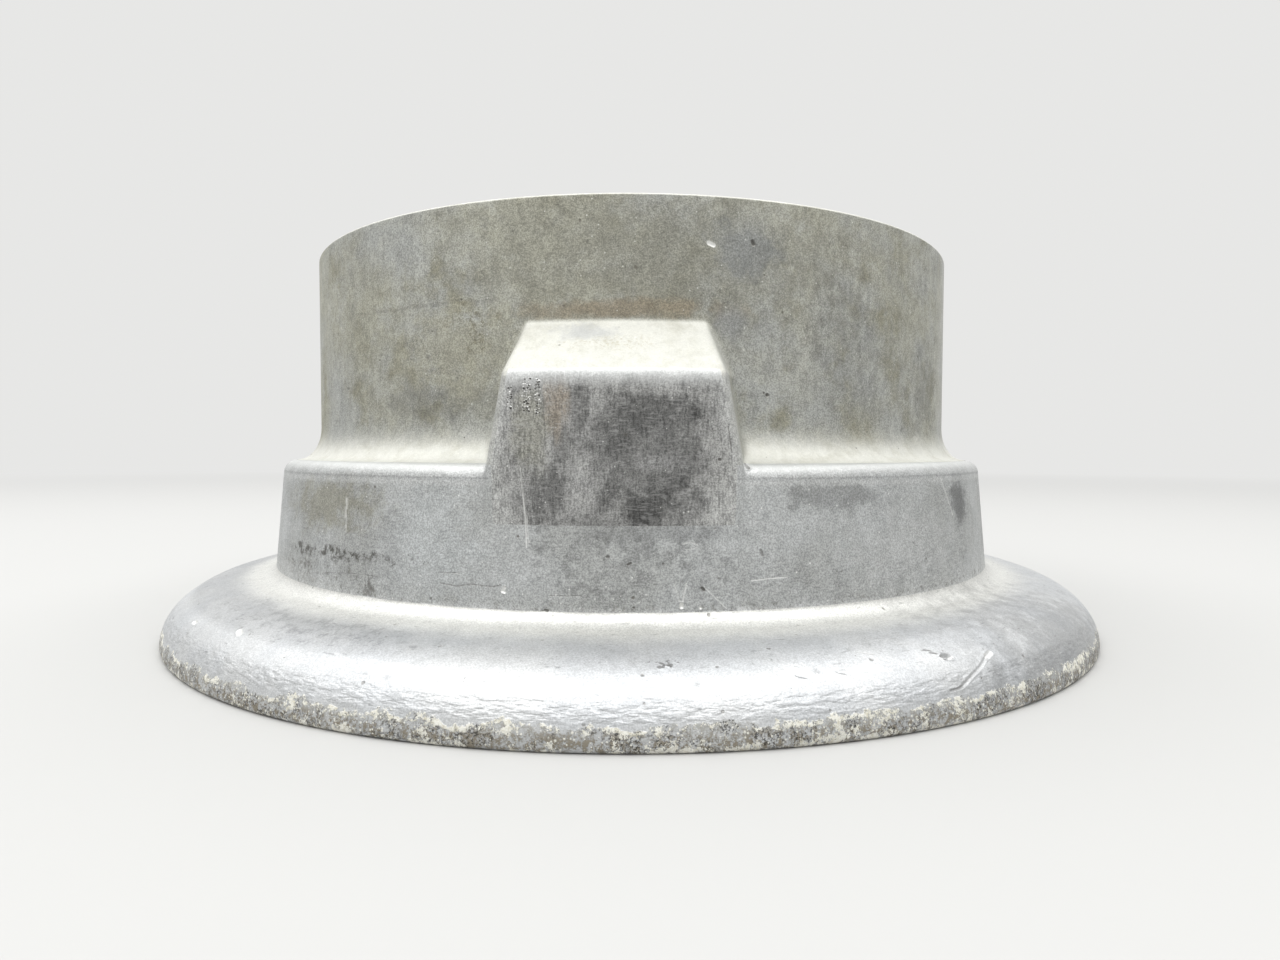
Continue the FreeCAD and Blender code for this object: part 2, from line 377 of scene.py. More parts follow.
def inside_of_solid():
    """A merged copy of the solid without its tyre side, land and rim."""
    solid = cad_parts["wheel_half"]
    inside = solid.copy()
    inside.data = solid.data.copy()
    inside.name = "hub_side"
    for key in list(inside.keys()):
        if key.startswith("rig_"):
            del inside[key]
    inside.parent = None
    bpy.context.scene.collection.objects.link(inside)
    make_active(inside)
    edit_mode()
    choose("SELECT")
    bpy.ops.mesh.remove_doubles(threshold=merge_gap)
    choose("DESELECT")
    object_mode()
    for face in inside.data.polygons:
        face.select = on_tyre_side(face.center / MM)
    edit_mode()
    bpy.ops.mesh.select_mode(type="FACE")
    bpy.ops.mesh.delete(type="FACE")
    object_mode()
    return inside


# Where the solid's outside lies, in millimetres: below each height, further out than a radius
outside_below = ((on_level, 89), (6, 90), (27.3, 70))
wall_outside = 67.2
wall_inside = 65.5
over_seat = 33
slot_half_width = 11.3
slot_top = 46.6
slot_outside = 68.95


def turn_from_boss(c):
    """Angle of a place from the middle of the nearest boss."""
    turn = math.atan2(c.x, -c.y)
    return turn - third_turn * round(turn / third_turn)


def on_tyre_side(c):
    """True where the solid's face belongs to the outside, the land or the rim."""
    r = math.hypot(c.x, c.y)
    for top, outside in outside_below:
        if c.z < top:
            return r > outside
    if c.z > height - on_level:
        return True
    across = abs(r * math.sin(turn_from_boss(c)))
    in_slot = across < slot_half_width and c.z < slot_top and r < slot_outside
    return r >= wall_inside and not in_slot and (r > wall_outside or c.z > over_seat)


def joined_half(skin, inside):
    """Skin and inside as one closed mesh, with the land and the rim face bridged."""
    deselect_all()
    inside.select_set(True)
    skin.select_set(True)
    bpy.context.view_layer.objects.active = skin
    bpy.ops.object.join()
    half = bpy.context.object
    for low, high in ((-1, 1), (height - 1, height + 1)):
        select_open_edges(half, low, high)
        edit_mode()
        bpy.ops.mesh.bridge_edge_loops()
        choose("DESELECT")
        object_mode()
    return half


def select_open_edges(piece, low, high):
    """Selects the open edges between two heights."""
    make_active(piece)
    edit_mode()
    bpy.ops.mesh.select_mode(type="EDGE")
    choose("DESELECT")
    bpy.ops.mesh.select_non_manifold(extend=False, use_wire=False, use_boundary=True,
                                     use_multi_face=False, use_non_contiguous=False, use_verts=False)
    object_mode()
    vertices = piece.data.vertices
    for edge in piece.data.edges:
        if edge.select:
            edge.select = all(low < vertices[v].co.z / MM < high for v in edge.vertices)


# Dents, nicks and scratches of the tyre side

def lip_radius(z):
    """Radius of the lip's curve at a height, or at many."""
    share = (z - bottom_round) / lip_rise
    return lip_centre + lip_reach * np.sqrt(np.clip(1 - share * share, 0, 1))


def tyre_side_radius(z):
    """Radius of the turned outside at a height."""
    if z < lip_curve_top:
        return float(lip_radius(z))
    return float(np.interp(z, [s[1] for s in stations], [s[0] for s in stations]))


def at(azimuth, z):
    """A place on the outside, from its azimuth in degrees and its height."""
    turn = math.radians(azimuth)
    on_boss = abs(azimuth) < boss_half_azimuth and boss_foot < z < boss_face_top
    radius = boss_radius if on_boss else tyre_side_radius(z)
    return (radius * math.sin(turn), -radius * math.cos(turn), z)


def gap_to_line(points, line):
    """Distance from every point to a line drawn through places."""
    line = [np.array(place) for place in line]
    if len(line) == 1:
        return np.linalg.norm(points - line[0], axis=1)
    best = np.full(len(points), 1e9)
    for a, b in zip(line, line[1:]):
        run = b - a
        share = np.clip(((points - a) @ run) / (run @ run), 0, 1)
        best = np.minimum(best, np.linalg.norm(points - a - share[:, None] * run, axis=1))
    return best


def pit_strips():
    """Small pits and crumbs packed in three upright strips at the left of the front boss face."""
    chance = random.Random(5)
    pits = []
    for azimuth, half_width, low, high, count in (
            (-11.2, 0.22, 40.4, 43.6, 22), (-9.3, 0.45, 40.0, 44.6, 60), (-8.0, 0.30, 39.6, 44.6, 46)):
        for _ in range(count):
            place = at(azimuth + chance.uniform(-half_width, half_width), chance.uniform(low, high))
            size = chance.uniform(0.10, 0.20)
            if chance.random() < 0.45:
                pits.append(([place], size, chance.uniform(0.06, 0.16), 0.75, 0.0))
            else:
                pits.append(([place], size, -chance.uniform(0.04, 0.10), 0.0, chance.uniform(0.1, 0.45)))
    return pits


def scattered_pits(seed, count, low, high, small, large, dirty):
    """Pits anywhere round the outside, between two heights."""
    chance = random.Random(seed)
    pits = []
    for _ in range(count):
        place = at(chance.uniform(-180, 180), chance.uniform(low, high))
        size = chance.uniform(small, large)
        depth = size * chance.uniform(0.15, 0.45)
        pits.append(([place], size, depth, chance.uniform(0.3, 1.0) * dirty, 0.0))
    return pits


def lip_pits():
    """The cluster of small pits on the lip in front, right of the middle."""
    chance = random.Random(8)
    pits = [([at(4.7 + chance.gauss(0, 0.35), 8.62 + chance.gauss(0, 0.12))], chance.uniform(0.16, 0.36),
             chance.uniform(0.08, 0.2), 0.6, 0.0) for _ in range(12)]
    return pits + [([at(azimuth, z)], 0.16, 0.1, 0.6, 0.0)
                   for azimuth, z in ((4.0, 8.88), (3.4, 8.9), (5.5, 8.95), (5.7, 8.86), (5.0, 8.99))]


def scuffs(seed, count, low, high, long):
    """Short fine scratches at all slants round the sides and back, between two heights."""
    chance = random.Random(seed)
    half_width, depth, usual_radius = 0.10, 0.04, 72
    lines = []
    for _ in range(count):
        azimuth, z = chance.uniform(62, 298), chance.uniform(low, high)
        slant, reach = chance.uniform(-1.4, 1.4), chance.uniform(0.3, 1.0) * long
        across = math.degrees(reach * math.cos(slant) / usual_radius)
        end = at(azimuth + across, z + reach * math.sin(slant))
        dirty, bright = chance.choice((0.0, 0.35)), chance.uniform(0.1, 0.4)
        lines.append(([at(azimuth, z), end], half_width, depth, dirty, bright))
    return lines


def drawn(rows):
    """Marks from rows of half width, depth, dirt, shine and places by azimuth and height."""
    return [([at(*place) for place in places], half_width, depth, dirt, shine)
            for half_width, depth, dirt, shine, *places in rows]


# Each mark: half width, depth, dirt and shine, then the azimuth and height of each place on its line
fine_marks = drawn([
    (0.36, 0.14, 0.0, 0.8, (11.6, 65.3), (12.2, 65.0)),
    (0.36, 0.22, 0.7, 0.0, (17.4, 65.9), (17.5, 65.5)),
    (0.34, 0.22, 0.8, 0.0, (19.6, 43.1)),
    (0.20, 0.12, 0.8, 0.0, (19.1, 43.4)),
    (0.40, 0.28, 0.6, 0.2, (14.7, 32.5), (14.9, 32.2)),
    (0.28, 0.14, 0.8, 0.0, (11.4, 33.4)),
    (0.30, 0.22, 0.0, 0.8, (7.2, 13.4), (7.2, 13.1)),
    (0.24, 0.18, 0.8, 0.0, (9.4, 15.6), (9.6, 15.3)),
    (0.24, 0.14, 0.0, 0.7, (9.2, 12.9)),
    (0.26, 0.18, 0.1, 0.7, (-11.6, 15.4), (-11.85, 14.9), (-11.6, 14.8)),
    (0.46, 0.17, 0.0, 0.5, (34.3, 7.15), (33.5, 6.9)),
    (0.30, 0.14, 0.12, 0.1, (33.6, 6.95), (32.8, 6.55), (31.9, 6.05), (30.6, 5.5), (29.2, 4.75),
     (28.8, 4.5)),
    (0.24, 0.10, 0.4, 0.0, (28.8, 4.5), (28.3, 4.35), (27.5, 4.3)),
    (0.55, 0.40, 0.25, 0.1, (28.95, 7.62), (29.4, 7.5)),
    (0.30, 0.10, 0.0, 0.8, (29.55, 7.42)),
    (0.20, 0.14, 0.8, 0.0, (28.6, 7.66), (28.75, 7.35)),
    (0.20, 0.08, 0.5, 0.0, (27.6, 8.4), (28.2, 8.25)),
    (0.18, 0.08, 0.5, 0.0, (27.9, 8.1), (28.5, 7.95)),
    (0.12, 0.06, 0.4, 0.0, (14.6, 7.4), (15.0, 7.2), (15.4, 7.12)),
    (0.12, 0.06, 0.35, 0.0, (18.0, 7.5), (18.3, 7.3), (18.7, 7.2)),
    (0.30, 0.10, 0.7, 0.0, (13.7, 9.5)),
    (0.16, 0.06, 0.3, 0.2, (21.2, 8.85), (22.3, 8.6)),
    (0.42, 0.15, 0.0, 0.85, (-47.6, 7.3), (-46.9, 7.3)),
    (0.50, 0.16, 0.0, 0.85, (-37.6, 8.2), (-36.9, 8.0)),
    (0.30, 0.10, 0.7, 0.0, (-0.5, 19.95)),
    (0.20, 0.08, 0.8, 0.0, (1.6, 18.9), (1.9, 19.1)),
    (0.22, 0.08, 0.7, 0.0, (5.3, 19.0)),
    (0.24, 0.08, 0.55, 0.0, (16.0, 20.6), (16.2, 19.9)),
    (0.20, 0.10, 0.7, 0.0, (-7.1, 12.5), (-6.8, 12.4)),
    (0.22, 0.10, 0.7, 0.0, (-20.5, 13.2)),
    (0.20, 0.10, 0.7, 0.0, (2.2, 13.0)),
]) + pit_strips() + lip_pits()
scratches = drawn([
    (0.09, 0.05, 0.0, 0.40, (-10.0, 32.2), (-9.7, 28.0)),
    (0.11, 0.05, 0.0, 0.55, (-9.75, 29.0), (-9.45, 25.0), (-9.25, 21.1)),
    (0.09, 0.05, 0.0, 0.45, (-9.3, 25.5), (-9.05, 21.8)),
    (0.11, 0.05, 0.0, 0.5, (-35.0, 27.1), (-34.6, 21.8)),
    (0.09, 0.04, 0.0, 0.4, (9.8, 15.5), (12.0, 12.7)),
    (0.10, 0.05, 0.15, 0.35, (6.5, 16.1), (7.0, 13.9)),
    (0.13, 0.06, 0.0, 0.4, (7.7, 16.1), (7.35, 13.9)),
    (0.09, 0.04, 0.0, 0.5, (14.8, 16.4), (16.6, 16.6), (19.0, 16.7)),
    (0.08, 0.03, 0.0, 0.35, (7.4, 21.7), (8.2, 21.95), (9.0, 21.6)),
    (0.08, 0.03, 0.0, 0.3, (9.0, 21.3), (8.1, 20.9), (7.6, 21.0)),
    (0.11, 0.05, 0.0, 0.45, (45.3, 30.2), (48.2, 23.9)),
    (0.09, 0.04, 0.3, 0.0, (-6.7, 14.5), (-5.0, 14.45), (-3.3, 14.55)),
    (0.10, 0.05, 0.6, 0.0, (12.3, 38.0), (12.7, 34.6)),
    (0.12, 0.05, 0.6, 0.0, (-29.9, 15.6), (-29.8, 13.0)),
    (0.10, 0.05, 0.5, 0.0, (-30.5, 15.3), (-30.3, 13.4)),
    (0.09, 0.04, 0.45, 0.0, (-38.0, 15.0), (-33.0, 15.5), (-28.4, 15.5)),
    (0.10, 0.04, 0.45, 0.0, (-19.4, 15.5), (-17.2, 15.2), (-15.6, 15.6), (-13.0, 15.4), (-12.0, 15.7)),
    (0.09, 0.04, 0.35, 0.0, (-19.6, 17.0), (-17.0, 17.05)),
]) + scuffs(21, 7, 12.8, 30.0, 3.0) + scuffs(22, 7, 40.0, 71.0, 3.0)
loose_pits = (scattered_pits(11, 40, 3.0, 9.4, 0.2, 0.5, 0.3)
              + scattered_pits(12, 26, 36, 70, 0.22, 0.42, 0.8)
              + scattered_pits(13, 30, 13, 31, 0.18, 0.34, 0.8))


def divide_near(piece, marks, spare, cuts):
    """Divides the faces round the marks, so that there are points to press in."""
    centres = rows_of(piece.data.polygons, "center") / MM
    near = np.zeros(len(centres), bool)
    for line, half_width, *_ in marks:
        near |= gap_to_line(centres, line) < half_width * 1.6 + spare
    make_active(piece)
    piece.data.polygons.foreach_set("select", near)
    edit_mode()
    bpy.ops.mesh.select_mode(type="FACE")
    object_mode()
    piece.data.polygons.foreach_set("select", near)
    edit_mode()
    bpy.ops.mesh.subdivide(number_cuts=cuts)
    choose("DESELECT")
    object_mode()


def skin_normals(piece):
    """Normals that point out of the metal, whichever way the faces turn."""
    normals = rows_of(piece.data.vertex_normals, "vector").astype(float)
    points = skin_points(piece)
    outwards = normals[:, 0] * points[:, 0] + normals[:, 1] * points[:, 1] + normals[:, 2] * 8
    return normals * np.where(outwards.sum() < 0, -1, 1)


def round_off(piece):
    """Brings the divided lip back on to its curve, which the flat faces cut inside."""
    points = skin_points(piece)
    radius = np.hypot(points[:, 0], points[:, 1])
    on_curve = (points[:, 2] > bottom_round) & (points[:, 2] < lip_curve_top) & (radius > 80)
    factor = np.where(on_curve, lip_radius(points[:, 2]) / np.maximum(radius, 1), 1)
    points[:, :2] *= factor[:, None]
    put_points(piece, points)


def press_marks(piece, marks):
    """Presses the marks into the skin and keeps where they are dirty or bright."""
    points = skin_points(piece)
    normals = skin_normals(piece)
    dirt = np.zeros(len(points))
    shine = np.zeros(len(points))
    moved = points.copy()
    burr_at, burr_width, burr_height = 1.15, 0.4, 0.22
    for line, half_width, depth, dirty, bright in marks:
        gap = gap_to_line(points, line) / half_width
        hollow = np.clip(1 - gap * gap, 0, 1) ** 1.5
        burr = np.clip(1 - np.abs(gap - burr_at) / burr_width, 0, 1) * burr_height
        moved -= normals * (depth * (hollow - burr))[:, None]
        dirt = np.maximum(dirt, dirty * fade(burr_at - gap, 0, 0.5))
        shine = np.maximum(shine, bright * fade(1.2 - gap, 0, 0.5))
    put_points(piece, moved)
    for name, values in (("dirt", dirt), ("shine", shine)):
        layer = piece.data.attributes.new(name, "FLOAT", "POINT")
        layer.data.foreach_set("value", values.astype(np.float32))


def rumple_lip(piece):
    """The rolled lip isn't quite true: it waves by a few hundredths of a millimetre."""
    points = skin_points(piece)
    normals = skin_normals(piece)
    radius = np.hypot(points[:, 0], points[:, 1])
    long_wave, short_wave, low, high = 11.0, 3.2, 0.3, 11
    for i in np.nonzero((radius > 79) & (points[:, 2] > low) & (points[:, 2] < high))[0]:
        place = Vector(points[i])
        wave = noise.noise(place / long_wave) * 0.03 + noise.noise(place / short_wave) * 0.012 - 0.03
        points[i] += normals[i] * wave * min(1.0, (points[i, 2] - low) / 2.0)
    put_points(piece, points)


# Materials

# How far the grain is drawn out along its direction, and where a patch ends
grain_upright = 0.22
grain_turned = 18.0
patch_edge = 1.15

# Colours that several finishes share
packed_dirt = (0.075, 0.07, 0.06)
bare_metal = (0.86, 0.86, 0.84)
dark_speck = (0.12, 0.11, 0.09)
# Painted light for the faces that look up, on the seat and the boss faces
lit_metal = (0.62, 0.63, 0.62)


def fill(tree, sockets, values):
    """Puts numbers, colours or other nodes' outputs on sockets."""
    for name, value in values.items():
        if isinstance(value, bpy.types.NodeSocket):
            tree.links.new(value, sockets[name])
        elif sockets[name].type == "RGBA":
            sockets[name].default_value = (*value, 1)
        else:
            sockets[name].default_value = value


class Nodes:
    """A node tree to build in: numbers or other nodes' outputs go in, and an output comes out."""

    def __init__(self, tree):
        self.tree = tree

    def add(self, kind, values=None, **settings):
        made = self.tree.nodes.new(kind)
        for name, value in settings.items():
            setattr(made, name, value)
        fill(self.tree, made.inputs, values or {})
        return made.outputs

    def calc(self, operation, *values):
        return self.add("ShaderNodeMath", dict(enumerate(values)), operation=operation)[0]

    def times(self, *values):
        return reduce(lambda a, b: self.calc("MULTIPLY", a, b), values)

    def either(self, *masks):
        return reduce(lambda a, b: self.calc("MAXIMUM", a, b), masks)

    def plus(self, a, b):
        return self.calc("ADD", a, b)

    def minus(self, a, b):
        return self.calc("SUBTRACT", a, b)

    def over(self, a, b):
        return self.calc("DIVIDE", a, b)

    def rest(self, mask):
        """1 where the mask is 0, and 0 where it is 1."""
        return self.minus(1.0, mask)

    def size_of(self, value):
        """The value without its sign."""
        return self.calc("ABSOLUTE", value)

    def length(self, a, b):
        return self.calc("SQRT", self.plus(self.times(a, a), self.times(b, b)))

    def ramp(self, value, low, high, start=0.0, end=1.0):
        """Runs smoothly from start to end as the value goes from low to high."""
        return self.add("ShaderNodeMapRange", {
            "Value": value, "From Min": low, "From Max": high, "To Min": start, "To Max": end},
            interpolation_type="SMOOTHSTEP")["Result"]

    def between(self, share, low, high):
        return self.add("ShaderNodeMix", {0: share, 2: low, 3: high}, data_type="FLOAT")[0]

    def blend(self, share, first, second, kind="MIX"):
        return self.add("ShaderNodeMix", {0: share, 6: first, 7: second},
                        data_type="RGBA", blend_type=kind)[2]

    def vector(self, x, y, z):
        return self.add("ShaderNodeCombineXYZ", {0: x, 1: y, 2: z})[0]

    def seen_directly(self):
        """1 for rays from the camera, a mirror or a glass, and 0 for the light on other things."""
        rays = self.add("ShaderNodeLightPath")
        return self.either(rays["Is Glossy Ray"], rays["Is Transmission Ray"], rays["Is Camera Ray"])


def new_group(name, inputs, outputs):
    """A node group. Its inputs have a number to start with, or None for a vector."""
    tree = bpy.data.node_groups.new(name, "ShaderNodeTree")
    for label, default in inputs.items():
        kind = "NodeSocketVector" if default is None else "NodeSocketFloat"
        socket = tree.interface.new_socket(label, in_out="INPUT", socket_type=kind)
        if default is not None:
            socket.default_value = default
    for label, kind in outputs.items():
        tree.interface.new_socket(label, in_out="OUTPUT", socket_type="NodeSocket" + kind)
    given, result = tree.nodes.new("NodeGroupInput"), tree.nodes.new("NodeGroupOutput")
    return Nodes(tree), given.outputs, result.inputs


def make_wheel_places():
    """Places on the wheel in millimetres: round the rim, up, out from the axis."""
    n, _, result = new_group("wheel_places", {}, {
        "Place": "Vector", "Around": "Float", "Folded": "Float", "Up": "Float", "Out": "Float",
        "Upright Grain": "Vector", "Turned Grain": "Vector"})
    place = n.add("ShaderNodeTexCoord")["Object"]
    scaled = n.add("ShaderNodeVectorMath", {0: place, "Scale": 1 / MM}, operation="SCALE")[0]
    x, y, z = n.add("ShaderNodeSeparateXYZ", {0: scaled})
    out = n.length(x, y)
    turn = n.calc("ARCTAN2", x, n.times(y, -1.0))
    # Grain that follows the turn is mirrored at both sides of the wheel, so it has no seam behind
    quarter = math.pi / 2
    folded = n.minus(n.calc("PINGPONG", n.plus(turn, quarter), math.pi), quarter)
    fill(n.tree, result, {
        "Place": scaled, "Around": n.times(turn, boss_radius), "Folded": n.times(folded, boss_radius),
        "Up": z, "Out": out,
        "Upright Grain": n.vector(x, y, n.times(z, grain_upright)),
        "Turned Grain": n.vector(out, z, n.times(folded, grain_turned))})
    return n.tree


def make_cloud():
    """A soft uneven mask, with edges at Low and High of a noise of the given size."""
    n, given, result = new_group("cloud", {
        "Place": None, "Size": 5.0, "Low": 0.4, "High": 0.6, "Roughness": 0.6, "Shift": 0.0,
        "Detail": 5.0}, {"Mask": "Float"})
    moved = n.add("ShaderNodeVectorMath", {0: given["Place"], 1: given["Shift"]})[0]
    wave = n.add("ShaderNodeTexNoise", {
        "Vector": moved, "Scale": n.over(1.0, given["Size"]), "Detail": given["Detail"],
        "Roughness": given["Roughness"]}, noise_dimensions="3D")[0]
    fill(n.tree, result, {"Mask": n.ramp(wave, given["Low"], given["High"])})
    return n.tree


def make_specks():
    """Scattered round specks, each with its own size, and a soft edge."""
    n, given, result = new_group("specks", {
        "Place": None, "Spacing": 2.0, "Radius": 0.25, "Share": 0.5}, {"Mask": "Float"})
    cells = n.add("ShaderNodeTexVoronoi", {
        "Vector": given["Place"], "Scale": n.over(1.0, given["Spacing"])})
    chance = n.add("ShaderNodeSeparateXYZ", {0: cells["Color"]})
    radius = n.times(given["Radius"], n.plus(0.35, chance[1]))
    near = n.times(cells["Distance"], given["Spacing"])
    inside_speck = n.ramp(near, n.times(radius, 0.4), radius, 1.0, 0.0)
    picked = n.calc("LESS_THAN", chance[0], given["Share"])
    fill(n.tree, result, {"Mask": n.times(inside_speck, picked)})
    return n.tree


def make_patch():
    """A ragged patch at a place on the wheel: Around and Up, with half width and half height."""
    n, given, result = new_group("patch", {
        "Around": 0.0, "Up": 0.0, "Wander": 0.5, "At Around": 0.0, "At Up": 0.0, "Half Width": 1.0,
        "Half Height": 1.0, "Ragged": 0.5, "Soft": 0.8}, {"Mask": "Float"})
    across = n.over(n.minus(given["Around"], given["At Around"]), given["Half Width"])
    high = n.over(n.minus(given["Up"], given["At Up"]), given["Half Height"])
    push = n.times(n.minus(given["Wander"], 0.5), n.times(given["Ragged"], 4.0))
    reach = n.plus(n.length(across, high), push)
    inner = n.minus(patch_edge, given["Soft"])
    fill(n.tree, result, {"Mask": n.ramp(reach, inner, patch_edge, 1.0, 0.0)})
    return n.tree


wheel_places = make_wheel_places()
cloud = make_cloud()
specks = make_specks()
patch = make_patch()


def new_material(name):
    material = bpy.data.materials.new(name)
    material.use_nodes = True
    return material, material.node_tree.nodes["Principled BSDF"]


class Finish(Nodes):
    """One finish of the wheel: its nodes, the places it is painted by, and its running colour."""

    def __init__(self, name, wander_size=3.0):
        self.material, self.shader = new_material(name)
        super().__init__(self.material.node_tree)
        spot = self.add("ShaderNodeGroup", node_tree=wheel_places)
        self.place, self.around, self.folded, self.up, self.out, self.upright, self.turned = spot
        self.front = self.ramp(self.size_of(self.around), 130.0, 200.0, 1.0, 0.0)
        facing = self.add("ShaderNodeTexCoord")["Normal"]
        self.tilt = self.add("ShaderNodeSeparateXYZ", {0: facing})[2]
        self.wander = self.clouds(wander_size, 0.0, 1.0, roughness=0.7)

    def clouds(self, size, low, high, vector=None, roughness=0.6, shift=0.0, detail=4.0):
        return self.add("ShaderNodeGroup", {
            "Place": vector or self.place, "Size": size, "Low": low, "High": high,
            "Roughness": roughness, "Shift": shift, "Detail": detail}, node_tree=cloud)["Mask"]

    def dots(self, spacing, radius, share):
        return self.add("ShaderNodeGroup", {
            "Place": self.place, "Spacing": spacing, "Radius": radius, "Share": share},
            node_tree=specks)["Mask"]

    def ragged_patch(self, around, up, half_width, half_height, ragged=0.5, soft=0.9, level=None, wander=None):
        return self.add("ShaderNodeGroup", {
            "Around": self.around, "Up": level or self.up, "Wander": wander or self.wander,
            "At Around": around, "At Up": up, "Half Width": half_width, "Half Height": half_height,
            "Ragged": ragged, "Soft": soft}, node_tree=patch)["Mask"]

    def paint(self, mask, colour, strength=1.0):
        """Lays a colour over the finish by a mask."""
        share = mask if strength == 1.0 else self.times(mask, strength)
        self.colour = self.blend(share, self.colour, colour)

    def shade(self, mask, by):
        """Leaves the colour at mask 0, and makes it `by` times as bright at mask 1."""
        factor = self.ramp(mask, 0.0, 1.0, 1.0, by)
        grey = self.add("ShaderNodeCombineColor", {0: factor, 1: factor, 2: factor})[0]
        self.colour = self.blend(1.0, self.colour, grey, "MULTIPLY")

    def darken_patch(self, by, *where, **more):
        """Darkens a ragged patch; it draws both stains and painted shade."""
        self.shade(self.ragged_patch(*where, **more), by)

    def tint(self, colour, strength, *where, **more):
        """Paints a colour on a ragged patch."""
        self.paint(self.ragged_patch(*where, **more), colour, strength)

    def grain(self, mottle, fine):
        """Mottling of every size down to a tenth of a millimetre."""
        self.shade(self.clouds(3.4, 0.32, 0.68, roughness=0.95), mottle)
        self.shade(self.clouds(0.24, 0.28, 0.72, roughness=0.8, detail=1.0), fine)

    def wear(self):
        """Dirt and bright metal where the dents and scratches keep them."""
        self.dirty = self.add("ShaderNodeAttribute", attribute_name="dirt")["Fac"]
        bright = self.add("ShaderNodeAttribute", attribute_name="shine")["Fac"]
        self.paint(self.dirty, packed_dirt)
        self.paint(bright, bare_metal)

    def uneven(self, base, by):
        """A number that wanders a little from place to place."""
        return self.plus(base, self.times(self.wander, by))

    def pebbles(self, size, low=0.2, roughness=0.8):
        """Small bumps and hollows for the relief."""
        return self.clouds(size, low, 0.8, roughness=roughness, shift=5.0)

    def rings(self, size):
        """Fine marks that run round the wheel, as a tool leaves them."""
        round_it = self.vector(self.out, self.up, self.times(self.folded, 0.02))
        return self.clouds(size, 0.3, 0.7, round_it, detail=1.0)

    def past_boss_edge(self):
        """How far the place is outside the nearest boss face, across the boss."""
        half_sector = third_turn * boss_radius / 2
        across = self.size_of(self.calc("WRAP", self.around, half_sector, -half_sector))
        lean = (boss_half_ledge - boss_half_brow) / (boss_face_top - ledge_height)
        above_ledge = self.either(self.minus(self.up, ledge_height), 0.0)
        return self.minus(self.plus(across, self.times(above_ledge, lean)), boss_half_ledge)

    def done(self, metallic, roughness, relief):
        """Joins everything to the shader; relief is in tenths of a millimetre."""
        bump = self.add("ShaderNodeBump", {"Height": relief, "Strength": 0.7, "Distance": 0.0001})[0]
        fill(self.tree, self.shader.inputs, {
            "Base Color": self.colour, "Metallic": metallic, "Roughness": roughness, "Normal": bump})
        return self.material


